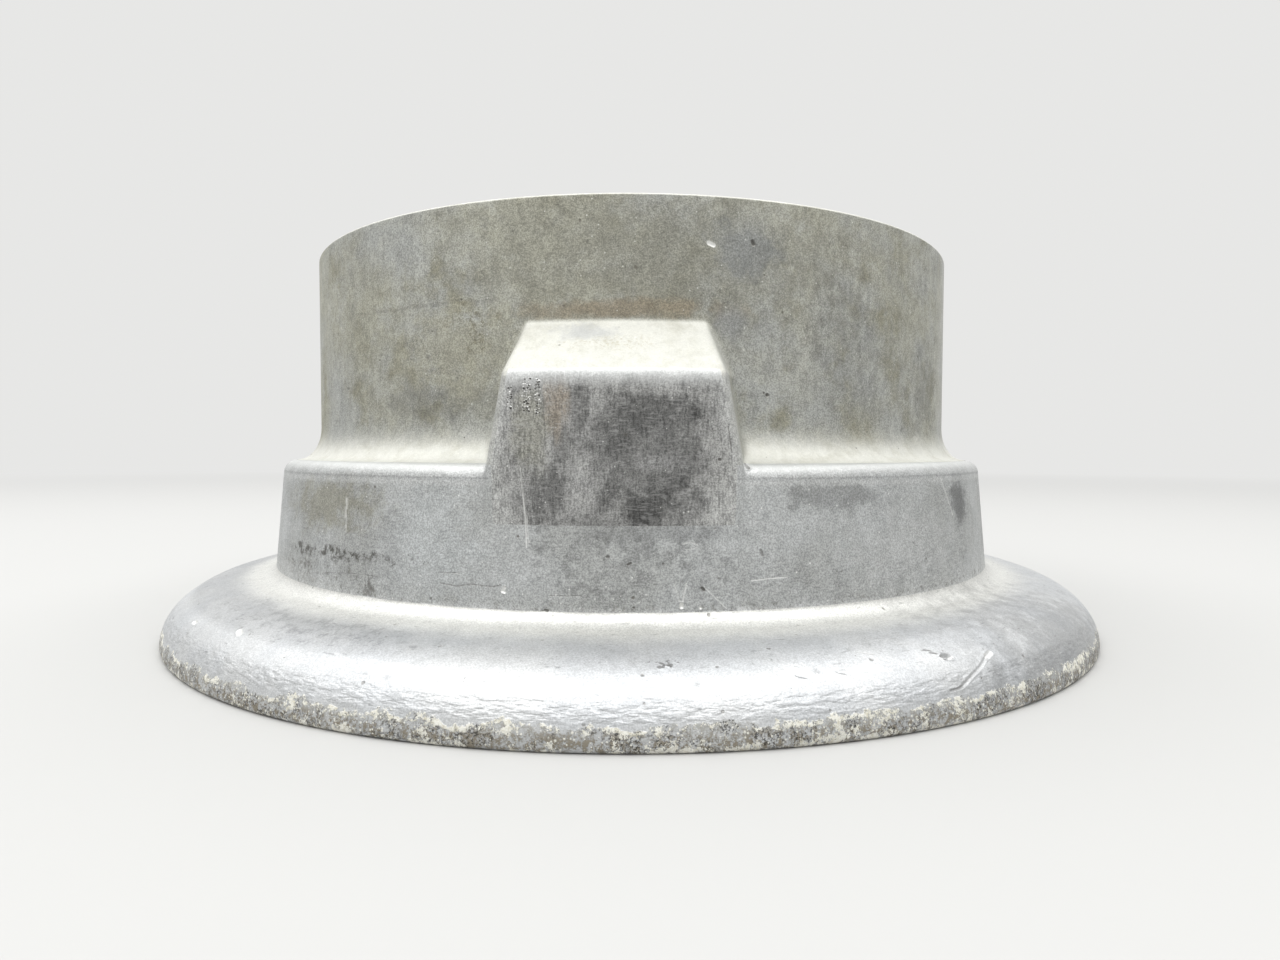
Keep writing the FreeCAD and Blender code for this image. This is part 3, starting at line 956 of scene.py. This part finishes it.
def cast_barrel():
    """Cast barrel, root round and boss tops: warm and cool oxide in clouds, a painted cream highlight
    where it faces up, and a painted sheen towards the right.
    """
    f = Finish("cast_barrel", 4.0)
    facing_up = f.ramp(f.tilt, 0.02, 0.62)
    on_flank = f.times(f.ramp(f.size_of(f.past_boss_edge()), 0.6, 1.9, 1.0, 0.0),
                       f.ramp(f.up, 31.5, 33.0), f.ramp(f.up, 51.0, 47.0), f.ramp(f.out, 68.2, 69.2))
    f.colour = f.blend(f.clouds(24.0, 0.36, 0.62), (0.515, 0.51, 0.43), (0.535, 0.545, 0.52))
    f.paint(f.clouds(9.0, 0.50, 0.72, shift=40.0), (0.41, 0.40, 0.315))
    f.paint(f.clouds(7.0, 0.50, 0.75, shift=90.0, roughness=0.7), (0.61, 0.615, 0.565), 0.9)
    f.shade(f.clouds(6.0, 0.50, 0.78, shift=15.0, roughness=0.8), 0.78)
    f.shade(f.clouds(1.1, 0.35, 0.70, f.upright, roughness=0.75, shift=3.0), 0.88)  # upright strokes
    over_boss = f.ragged_patch(8, 62, 36, 15, 0.4, 1.1)
    f.paint(over_boss, (0.345, 0.34, 0.28), 0.8)
    f.tint((0.37, 0.305, 0.215), 0.6, 1, 55.6, 20, 1.7, 0.35)  # brown line
    f.tint((0.32, 0.335, 0.345), 0.6, 22, 64.5, 7, 5, 0.5)  # cool patch
    f.tint((0.36, 0.375, 0.40), 0.45, 19, 53.5, 3.0, 3.0, 0.4)  # cool by boss
    f.darken_patch(0.86, 42, 50, 12, 14, 0.5)  # right smudge
    f.darken_patch(0.80, 70, 46, 9, 10, 0.5)  # far right smudge
    f.darken_patch(0.78, -34, 42.5, 17, 4.5, 0.4)  # low left smudge
    f.tint((0.48, 0.465, 0.36), 0.6, -30, 50, 14, 9, 0.4)  # olive left
    water_level = f.ramp(f.size_of(f.minus(f.uneven(f.up, 1.6), 58.2)), 0.1, 0.45, 1.0, 0.0)
    f.shade(f.times(water_level, f.ragged_patch(-36, 58, 26, 6, 0.1)), 0.86)
    crazing = f.size_of(f.minus(f.clouds(7.0, 0.0, 1.0, shift=55.0, roughness=0.75, detail=5.0), 0.5))
    crazed = f.clouds(11.0, 0.46, 0.58, shift=33.0, detail=1.0)
    f.shade(f.times(f.ramp(crazing, 0.0, 0.018, 1.0, 0.0), crazed), 0.72)
    veins = f.times(f.ramp(crazing, 0.0, 0.05, 1.0, 0.0), f.ragged_patch(-25, 53, 6, 5, 0.4))
    f.paint(veins, (0.22, 0.20, 0.13), 0.6)
    # Painted sheen: the barrel lighter from the front view's right outline round towards the back
    painted_right_sheen = f.times(f.ramp(f.around, 76.0, 88.0), f.front)
    f.paint(painted_right_sheen, (0.62, 0.625, 0.61), 0.6)
    f.paint(on_flank, (0.64, 0.645, 0.63), 0.8)
    # Painted highlight for the faces that look up, in two cream tones, with a painted shadow patch on
    # the boss top and real dark specks over it
    cream = f.clouds(4.0, 0.42, 0.75, shift=14.0, roughness=0.75)
    painted_top_light_and_specks = f.blend(cream, (0.70, 0.70, 0.65), (0.59, 0.585, 0.52))
    painted_top_shadow = f.times(f.ragged_patch(-5.0, 51.8, 5.0, 1.5, 0.5), 0.7)
    painted_top_light_and_specks = f.blend(painted_top_shadow, painted_top_light_and_specks, (0.50, 0.51, 0.51))
    top_specks = f.clouds(0.5, 0.50, 0.62, roughness=0.7, shift=27.0, detail=2.0)
    top_specks = f.times(f.ragged_patch(-0.5, 50.0, 9.0, 1.3, 0.4), top_specks, 0.6)
    painted_top_light_and_specks = f.blend(top_specks, painted_top_light_and_specks, (0.52, 0.49, 0.39))
    # Lays the painted highlight on the faces that look up
    f.paint(facing_up, painted_top_light_and_specks)
    f.grain(f.between(facing_up, 0.81, 0.94), f.between(facing_up, 0.66, 0.93))
    dark_dots = f.dots(2.7, 0.28, 0.30)
    f.paint(f.dots(0.9, 0.13, 0.28), (0.90, 0.90, 0.86), 0.5)
    f.paint(dark_dots, dark_speck, 0.7)
    f.wear()
    roughness = f.uneven(0.58, 0.08)
    metallic = f.times(f.between(facing_up, 0.60, 0.45), f.rest(f.dirty))
    relief = f.times(f.pebbles(0.8), f.between(over_boss, 0.5, 1.1), f.between(facing_up, 1.0, 0.4))
    relief = f.minus(relief, f.times(dark_dots, 1.2))
    return f.done(metallic, roughness, relief)


def turned_seat():
    """Turned bead seat and ledge edge: cool grey, fine level lines, old dirt low on the left, painted
    light low at the sides, painted highlights on the ledge edge and where it faces up, and painted shade
    in the crease.
    """
    f = Finish("turned_seat")
    facing_up = f.ramp(f.tilt, 0.15, 0.95)
    f.colour = f.blend(f.clouds(14.0, 0.36, 0.66), (0.535, 0.545, 0.535), (0.615, 0.63, 0.63))
    f.shade(f.clouds(3.5, 0.5, 0.8, f.upright, shift=7.0), 0.88)
    f.tint((0.665, 0.69, 0.695), 0.7, -27, 21, 9, 11, 0.4)  # clean left
    f.tint((0.66, 0.67, 0.665), 0.6, 50, 19, 15, 7, 0.4)  # clean right
    left_brown = f.ragged_patch(-52, 26.0, 17, 5.0, 0.4)
    f.paint(left_brown, (0.335, 0.325, 0.255), 0.75)
    smear_grain = f.clouds(1.5, 0.42, 0.58, roughness=0.75, shift=2.0)
    left_smears = f.times(f.ragged_patch(-49, 18.2, 17, 1.1, 0.6, 0.6), smear_grain)
    f.paint(left_smears, (0.11, 0.105, 0.09), 0.85)
    low_dirt = f.clouds(1.2, 0.44, 0.62, shift=9.0, roughness=0.75)
    f.paint(f.times(f.ragged_patch(-58, 15.0, 16, 2.0, 0.8), low_dirt), (0.17, 0.16, 0.135), 0.7)
    hook_mark = f.ragged_patch(-38.7, 13.6, 1.0, 1.6, 0.8, 0.4)
    f.paint(f.times(hook_mark, smear_grain), (0.13, 0.12, 0.10), 0.8)
    f.darken_patch(0.74, 6, 23.2, 16, 1.8, 0.4)  # under boss
    below_boss = f.clouds(2.2, 0.40, 0.62, roughness=0.75, shift=17.0)
    f.shade(f.times(f.ragged_patch(3, 18.6, 19, 5.5, 0.6), below_boss), 0.72)
    f.darken_patch(0.74, 34, 28.0, 10, 3.2, 0.6)  # right streaks
    f.darken_patch(0.42, 66.5, 26.4, 5.0, 6.4, 0.3, 1.1)  # far right dirt
    to_the_sides = f.ramp(f.size_of(f.around), 20.0, 65.0)
    # Painted light: the seat lighter low down towards the sides
    painted_foot_light = f.times(f.ramp(f.uneven(f.up, 1.5), 17.0, 13.0), to_the_sides)
    f.paint(painted_foot_light, (0.73, 0.74, 0.73), 0.6)
    foot_dirt = f.times(f.ramp(f.up, 14.2, 12.4), f.clouds(1.1, 0.50, 0.66, roughness=0.8, shift=61.0))
    f.paint(foot_dirt, (0.20, 0.19, 0.16), 0.7)
    f.paint(f.times(f.dots(3.4, 0.55, 0.35), smear_grain), (0.17, 0.17, 0.16), 0.5)  # smuts
    level_lines = f.times(f.clouds(0.35, 0.42, 0.66, f.turned, roughness=0.7, shift=8.0, detail=2.0),
                          f.clouds(9.0, 0.42, 0.60, shift=71.0, detail=1.0))
    f.shade(level_lines, 0.84)
    # Painted highlight where the seat turns into the ledge edge: a lighter upper band and a light strip
    f.paint(f.ramp(f.up, 29.4, 30.2), (0.66, 0.67, 0.67), 0.4)  # upper band
    painted_light_strip = f.times(f.ramp(f.up, 29.3, 29.8), f.ramp(f.up, 30.45, 30.15))
    f.paint(painted_light_strip, (0.70, 0.71, 0.70), 0.4)
    tool_line = f.times(f.ramp(f.up, 30.40, 30.65), f.ramp(f.up, 31.00, 30.75))
    f.shade(f.times(tool_line, f.between(f.wander, 1.0, 0.5)), 0.80)
    # Painted highlight on the rounded ledge edge, where it tilts up
    f.paint(f.ramp(f.tilt, 0.09, 0.40), (0.67, 0.68, 0.675), 0.6)  # ledge edge
    # Painted shade in the crease where the ledge meets the root round, and painted light on the faces
    # that look up
    painted_crease_shade = f.times(f.ramp(f.out, 72.5, 72.15), f.ramp(f.up, 32.0, 32.5))
    f.paint(facing_up, lit_metal)
    f.shade(painted_crease_shade, 0.72)
    f.grain(f.between(facing_up, 0.85, 0.93), f.between(facing_up, 0.66, 0.94))
    dark_dots = f.dots(2.7, 0.28, 0.30)
    f.paint(f.dots(0.9, 0.14, 0.34), (0.92, 0.92, 0.90), 0.6)
    f.paint(dark_dots, dark_speck, 0.7)
    f.wear()
    roughness = f.uneven(0.49, 0.10)
    metallic = f.times(f.rest(f.either(f.dirty, f.times(left_brown, 0.5))), 0.76)
    relief = f.times(f.pebbles(0.7), 0.5)
    relief = f.minus(relief, f.times(dark_dots, 1.2))
    return f.done(metallic, roughness, relief)


def boss_face():
    """Turned boss faces: painted highlights on their rounded sides, brow and upward faces, darkened and
    brushed upright in the middle.
    """
    f = Finish("boss_face", 4.5)
    facing_up = f.ramp(f.tilt, 0.08, 0.55)
    streaky = f.clouds(2.4, 0.0, 1.0, f.upright, roughness=0.75, shift=29.0)
    side = f.ramp(f.plus(f.past_boss_edge(), f.wander), -2.2, 0.1)
    brow = f.ramp(f.plus(f.up, f.wander), 43.4, 45.4)
    corner = f.ramp(f.size_of(f.plus(f.around, 0.6)), 12.0, 15.5)
    low_corner = f.times(corner, f.ramp(f.up, 31.0, 27.0))
    f.colour = f.blend(f.clouds(7.0, 0.38, 0.62, shift=23.0), (0.55, 0.55, 0.535), (0.47, 0.47, 0.46))
    front_boss = f.ramp(f.size_of(f.around), 40.0, 50.0, 1.0, 0.0)
    f.shade(f.times(f.rest(front_boss), f.clouds(8.0, 0.44, 0.60, shift=67.0)), 0.60)  # behind
    f.tint((0.47, 0.465, 0.39), 0.6, -11.4, 38.0, 3.6, 7.0, 0.4)  # left tint
    f.darken_patch(0.54, 4.2, 34.6, 10.6, 10.6, 0.35, 0.7)  # dark cloud
    f.darken_patch(0.80, 6.5, 40.4, 5.5, 2.6, 0.5, 0.8)  # dark top
    f.darken_patch(0.76, 1.0, 36.4, 2.4, 4.6, 0.5)  # dark slant
    f.darken_patch(0.66, 11.6, 39.9, 1.9, 1.9, 0.6, 0.8, wander=streaky)  # dark right
    f.darken_patch(0.60, -4.9, 41.4, 1.8, 3.8, 0.6, 0.8, wander=streaky)  # streak top
    f.darken_patch(0.64, -7.4, 35.8, 1.8, 4.4, 0.6, 0.8, wander=streaky)  # streak middle
    f.darken_patch(0.56, -8.6, 28.6, 3.0, 5.0, 0.5, 0.8, wander=streaky)  # streak low
    f.darken_patch(0.56, 6.2, 27.4, 9.6, 4.2, 0.35, 1.1)  # black low
    f.darken_patch(0.78, 0.0, 24.6, 13.0, 2.0, 0.4)  # dark foot
    f.tint((0.46, 0.46, 0.455), 0.5, 5.6, 33.0, 4.6, 1.9, 0.5, 1.1)  # light middle
    brown_streak = f.ragged_patch(-7.9, 40.8, 2.2, 5.4, 0.4, 0.9, wander=streaky)
    f.paint(brown_streak, (0.50, 0.43, 0.345), 0.75)
    f.tint((0.56, 0.56, 0.55), 0.75, -4.2, 30.2, 2.4, 4.4, 0.5, 0.8)  # rubbed
    # Painted highlights: along the rounded sides of the face with the same light colour on its lower
    # corners, on the rounded brow, and where the face looks up
    f.paint(f.either(f.times(side, 0.85), f.times(low_corner, 0.7)), (0.71, 0.715, 0.70))
    f.paint(brow, (0.66, 0.67, 0.665), 0.8)
    f.paint(facing_up, lit_metal)
    bright = f.either(facing_up, f.times(brow, 0.6))
    f.grain(f.between(bright, 0.78, 0.93), f.between(bright, 0.58, 0.93))
    brushed = f.times(f.clouds(0.34, 0.42, 0.70, f.upright, roughness=0.8, detail=1.0), f.rest(bright))
    f.shade(brushed, 0.68)
    level_marks = f.clouds(0.30, 0.50, 0.72, f.turned, roughness=0.7, shift=12.0, detail=1.0)
    f.paint(level_marks, (0.60, 0.60, 0.59), 0.22)
    f.paint(f.dots(0.8, 0.13, 0.34), (0.88, 0.88, 0.86), 0.6)
    f.wear()
    roughness = f.uneven(0.46, 0.10)
    metallic = f.times(f.rest(f.either(f.dirty, f.times(brown_streak, 0.5))), 0.74)
    relief = f.times(f.either(f.clouds(0.34, 0.3, 0.8, f.upright, roughness=0.8, detail=1.0),
                              f.pebbles(0.7, 0.3)), 0.5)
    return f.done(metallic, roughness, relief)


def rolled_lip():
    """Rolled lip: bright and bluish, rubbed dull on its crown, with a painted highlight at its foot,
    painted shade on its crown and right end, and paint left on its lower edge.
    """
    f = Finish("rolled_lip")
    f.colour = f.blend(f.clouds(12.0, 0.36, 0.64, shift=60.0), (0.62, 0.635, 0.65), (0.67, 0.68, 0.685))
    # Painted highlight on the round at the foot of the lip
    painted_foot_light = f.ramp(f.minus(f.out, f.times(f.wander, 2.0)), 84.0, 78.0)
    f.paint(painted_foot_light, (0.765, 0.765, 0.735))
    # Painted shade on the crown, darker towards the left
    on_crown = f.times(f.ramp(f.up, 7.2, 8.8), f.rest(painted_foot_light))
    crown_left = f.times(f.ramp(f.around, 5.0, -40.0), f.front)
    f.shade(on_crown, f.between(crown_left, 0.94, 0.79))
    rubs = f.clouds(1.3, 0.50, 0.76, roughness=0.85, shift=24.0)
    f.shade(f.times(rubs, f.between(on_crown, 0.2, 1.0)), 0.72)
    left_rub = f.ragged_patch(-40, 85.5, 22, 4.0, 0.8, level=f.out)
    f.shade(f.times(left_rub, f.clouds(2.6, 0.40, 0.66, roughness=0.8, shift=19.0)), 0.72)
    # Painted shade towards the right end of the lip
    f.darken_patch(0.70, 62, 5.0, 30, 9.0, 0.3, 1.1)  # right shade
    steep = f.times(f.ramp(f.up, 6.6, 5.4), f.ramp(f.up, 2.8, 4.0))
    rolled = f.vector(f.out, f.up, f.times(f.folded, 0.45))
    peel = f.clouds(0.75, 0.34, 0.66, rolled, roughness=0.55, shift=77.0, detail=2.0)
    f.shade(f.times(steep, peel), 0.88)
    f.grain(0.90, 0.80)
    short_scratches = f.clouds(0.45, 0.66, 0.74, f.turned, roughness=0.5, shift=12.0, detail=1.0)
    f.shade(f.times(short_scratches, f.clouds(5.0, 0.45, 0.60, shift=16.0, detail=1.0)), 0.74)
    dark_dots = f.dots(2.2, 0.28, 0.34)
    f.paint(f.dots(0.9, 0.12, 0.2), (0.92, 0.92, 0.90), 0.3)
    f.paint(dark_dots, (0.15, 0.14, 0.12), 0.55)

    # Paint left on the lower edge, cream flakes over brown dirt
    edge_wander = f.clouds(6.0, 0.2, 0.8, roughness=0.75, shift=44.0)
    level = f.plus(f.up, f.times(edge_wander, 2.2))
    painted = f.ramp(level, 4.5, 4.25)
    patches = f.clouds(1.9, 0.0, 1.0, roughness=0.85, shift=31.0, detail=5.0)
    flaky = f.clouds(9.0, 0.42, 0.58, shift=52.0, detail=2.0)
    low_down = f.ramp(f.up, 1.5, 0.3)
    where = f.between(flaky, f.between(low_down, 0.68, 0.56), f.between(low_down, 0.57, 0.49))
    flake = f.times(f.ramp(f.minus(patches, where), 0.0, 0.006), painted)
    top_flake = f.times(painted, f.ramp(level, 3.6, 3.9),
                        f.ramp(f.plus(patches, f.times(flaky, 0.12)), 0.565, 0.572))
    flake = f.either(flake, top_flake)
    dirt_grain = f.clouds(0.9, 0.45, 0.57, roughness=0.85, shift=71.0)
    grit = f.times(f.clouds(0.32, 0.48, 0.60, roughness=0.8, shift=83.0, detail=2.0),
                   f.clouds(4.0, 0.40, 0.60, shift=37.0, detail=2.0))
    dirt = f.times(painted, f.ramp(f.up, 3.6, 1.2), dirt_grain)
    dull = f.times(painted, f.between(dirt_grain, 0.25, 0.85))
    f.paint(dull, (0.38, 0.38, 0.36))
    f.paint(dirt, (0.24, 0.205, 0.145), 0.8)
    f.shade(f.times(painted, grit), 0.26)
    crumbs = f.times(f.dots(0.45, 0.18, 0.5), painted)
    f.paint(crumbs, (0.88, 0.87, 0.80), 0.9)
    yellowed = f.clouds(0.7, 0.42, 0.68, shift=3.0, roughness=0.8)
    f.paint(flake, f.blend(yellowed, (0.87, 0.86, 0.79), (0.62, 0.59, 0.48)))
    f.wear()
    roughness = f.uneven(0.44, 0.10)
    roughness = f.between(f.either(painted, f.dirty), roughness, 0.75)
    metallic = f.times(f.rest(f.either(f.times(painted, 0.6), flake, f.dirty)), 0.70)
    relief = f.times(f.pebbles(0.7), 0.35)
    relief = f.minus(relief, f.times(dark_dots, 1.2))
    for raised in (f.times(peel, steep), f.times(f.either(flake, crumbs), 2.0), f.times(dirt, 1.4)):
        relief = f.plus(relief, raised)
    return f.done(metallic, roughness, relief)


def sand_cast_hollow():
    """Sand cast inside of the wheel, grey with brake dust in its corners."""
    f = Finish("sand_cast_hollow", 5.0)
    f.colour = f.blend(f.clouds(16.0, 0.36, 0.64), (0.40, 0.395, 0.365), (0.46, 0.465, 0.45))
    f.paint(f.clouds(6.0, 0.48, 0.72, shift=40.0, roughness=0.75), (0.33, 0.31, 0.26))
    dust = f.times(f.ramp(f.up, 8.0, 50.0), f.clouds(9.0, 0.40, 0.70, shift=20.0, roughness=0.8))
    f.paint(dust, (0.16, 0.145, 0.125), 0.7)
    f.grain(0.72, 0.70)
    dark_dots = f.dots(2.0, 0.30, 0.4)
    f.paint(dark_dots, (0.10, 0.09, 0.08), 0.6)
    relief = f.times(f.pebbles(0.9, roughness=0.85), 1.4)
    relief = f.minus(relief, f.times(dark_dots, 1.4))
    roughness = f.uneven(0.60, 0.12)
    return f.done(f.between(dust, 0.55, 0.2), roughness, relief)


def machined_alloy():
    """Turned and faced places: fine rings of tool marks, grey oxide and dark specks."""
    f = Finish("machined_alloy", 4.0)
    rings = f.rings(0.45)
    f.colour = f.blend(f.clouds(10.0, 0.38, 0.64), (0.50, 0.50, 0.49), (0.60, 0.605, 0.60))
    f.shade(f.clouds(5.0, 0.50, 0.75, shift=15.0, roughness=0.8), 0.74)
    f.shade(rings, 0.86)
    f.grain(0.82, 0.86)
    dark_dots = f.dots(2.4, 0.25, 0.3)
    f.paint(dark_dots, dark_speck, 0.6)
    roughness = f.uneven(0.36, 0.16)
    relief = f.minus(f.times(rings, 0.35), f.times(dark_dots, 1.0))
    return f.done(0.85, roughness, relief)


def ground_bearing_steel():
    """Ground bearing steel with fine marks round it and a brown film of old grease."""
    f = Finish("ground_bearing_steel", 4.0)
    rings = f.rings(0.25)
    f.colour = f.blend(f.clouds(9.0, 0.38, 0.64), (0.50, 0.50, 0.505), (0.58, 0.58, 0.585))
    grease = f.clouds(7.0, 0.48, 0.70, shift=20.0, roughness=0.75)
    f.paint(grease, (0.30, 0.22, 0.12), 0.6)
    f.shade(rings, 0.88)
    f.grain(0.90, 0.92)
    roughness = f.plus(f.plus(f.times(f.wander, 0.10), f.times(grease, 0.15)), 0.18)
    return f.done(0.95, roughness, f.times(rings, 0.15))


# Where the inside is machined, in millimetres, and where the finish of a boss face ends.
# Each turned place: from a height to a height, and from a radius to a radius.
ring_land_top = 0.5
rim_face_depth = 0.7
hub_bore_radius = 30.8
turned_places = ((69.0, height, 62.5, flange_radius), (65.5, height, 0, 64), (0, 22.3, 0, 37.5))
bolt_circle = 50.8
bolt_pad = 8.4
boss_finish_top = 46.0
boss_finish_radius = boss_radius - 1.2


def machined_place(c, radius):
    """True where the inside of the casting has been turned, bored or faced."""
    if c.z < ring_land_top or c.z > height - rim_face_depth or radius < hub_bore_radius:
        return True
    if any(low < c.z < high and inner < radius < outer for low, high, inner, outer in turned_places):
        return True
    bolts = [(bolt_circle * math.sin(turn), -bolt_circle * math.cos(turn))
             for turn in (sixth_turn, math.pi, -sixth_turn)]
    return any(math.hypot(c.x - x, c.y - y) < bolt_pad for x, y in bolts)


def give_finishes(half):
    """Gives every face of the casting its own finish, by its place."""
    half.data.materials.clear()
    for finish in (cast_barrel, turned_seat, boss_face, rolled_lip, sand_cast_hollow, machined_alloy):
        half.data.materials.append(finish())
    barrel, seat, face_of_boss, lip, hollow, machined = range(6)
    tyre_side = half.data.attributes["tyre_side"].data
    for face in half.data.polygons:
        c = face.center / MM
        radius = math.hypot(c.x, c.y)
        if not tyre_side[face.index].value or c.z < on_level or c.z > height - on_level:
            face.material_index = machined if machined_place(c, radius) else hollow
        elif radius > seat_radius and c.z < foot_height:
            face.material_index = lip
        else:
            across = abs(boss_radius * turn_from_boss(c))
            edge = boss_half_width(c.z) - boss_edge * 0.8
            on_face = across < edge and boss_foot < c.z < boss_finish_top and radius > boss_finish_radius
            on_seat = c.z < ledge_height + 0.02 and radius > ledge_radius - ledge_edge_round + 0.1
            face.material_index = face_of_boss if on_face else seat if on_seat else barrel


# The casting

skin = turned_skin()
shape_bosses(skin)
divide_near(skin, fine_marks + scratches + loose_pits, spare=0.8, cuts=2)
divide_near(skin, fine_marks + scratches, spare=0.10, cuts=3)
round_off(skin)
rumple_lip(skin)
press_marks(skin, fine_marks + scratches + loose_pits)
tyre_side = skin.data.attributes.new("tyre_side", "INT", "FACE")
tyre_side.data.foreach_set("value", [1] * len(skin.data.polygons))
half = joined_half(skin, inside_of_solid())
half.name = "wheel_casting"
make_active(half)
edit_mode()
bpy.ops.mesh.select_mode(type="VERT")
choose("SELECT")
bpy.ops.mesh.normals_make_consistent(inside=False)
choose("DESELECT")
object_mode()
bpy.ops.mesh.customdata_custom_splitnormals_clear()
bpy.ops.object.shade_smooth_by_angle(angle=math.radians(sharp_edge))
flat_faces = half.modifiers.new("flat_faces", "WEIGHTED_NORMAL")
flat_faces.keep_sharp = True
bpy.ops.object.modifier_apply(modifier="flat_faces")
give_finishes(half)
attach(half, root)
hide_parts("wheel_half")
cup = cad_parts["bearing_cup"]
cup.data.materials.clear()
cup.data.materials.append(ground_bearing_steel())


# Floor, lamp, room and camera

room_colour = (0.80, 0.80, 0.79)


def pale_floor_material():
    """Pale matt floor that fades into the pale room away from the wheel."""
    material, shader = new_material("pale_floor")
    n = Nodes(material.node_tree)
    fill(n.tree, shader.inputs, {"Base Color": (0.55, 0.55, 0.54), "Roughness": 0.8})
    place = n.add("ShaderNodeTexCoord")["Object"]
    away = n.add("ShaderNodeVectorMath", {0: place}, operation="LENGTH")["Value"]
    share = n.times(n.seen_directly(), n.ramp(away, 0.25, 1.3))
    room = n.add("ShaderNodeEmission", {"Color": room_colour, "Strength": 1.0})[0]
    mixed = n.add("ShaderNodeMixShader", {0: share, 1: shader.outputs[0], 2: room})[0]
    fill(n.tree, n.tree.nodes["Material Output"].inputs, {"Surface": mixed})
    return material


deselect_all()
bpy.ops.mesh.primitive_plane_add(size=12, location=(0, 0, 0))
floor = bpy.context.object
floor.name = "pale_floor"
floor.data.materials.append(pale_floor_material())

lamp_data = bpy.data.lights.new("overhead_panel", "AREA")
lamp_data.shape = "RECTANGLE"
lamp_data.size, lamp_data.size_y = 2.8, 2.2
lamp_data.energy = 42
lamp = bpy.data.objects.new("overhead_panel", lamp_data)
lamp.location = (-0.22, -0.22, 1.2)
bpy.context.scene.collection.objects.link(lamp)

world = bpy.data.worlds.new("pale_room")
bpy.context.scene.world = world
world.use_nodes = True
sky = Nodes(world.node_tree)
fill(sky.tree, sky.tree.nodes["Background"].inputs, {
    "Color": room_colour, "Strength": sky.ramp(sky.seen_directly(), 0.0, 1.0, 0.5, 1.0)})

# The camera that was fitted to the photo's outlines
camera_place = (0.00657, -0.18088, 0.0346)
heading, pitch, roll = math.radians(-1.525), math.radians(2.17), math.radians(0.11)
camera_data = bpy.data.cameras.new("front_view")
camera_data.sensor_width = 36
camera_data.lens = 21.57
camera_data.clip_start = 0.005
camera = bpy.data.objects.new("front_view", camera_data)
level = Vector((math.cos(heading), -math.sin(heading), 0))
forward = Vector((math.sin(heading), math.cos(heading), 0))
ahead = forward * math.cos(pitch) - Vector((0, 0, math.sin(pitch)))
above = level.cross(ahead)
right = level * math.cos(roll) + above * math.sin(roll)
up = above * math.cos(roll) - level * math.sin(roll)
turned = Matrix((right, up, -ahead)).transposed().to_4x4()
camera.matrix_world = Matrix.Translation(camera_place) @ turned
bpy.context.scene.collection.objects.link(camera)
bpy.context.scene.camera = camera
bpy.context.scene.view_settings.view_transform = "Standard"
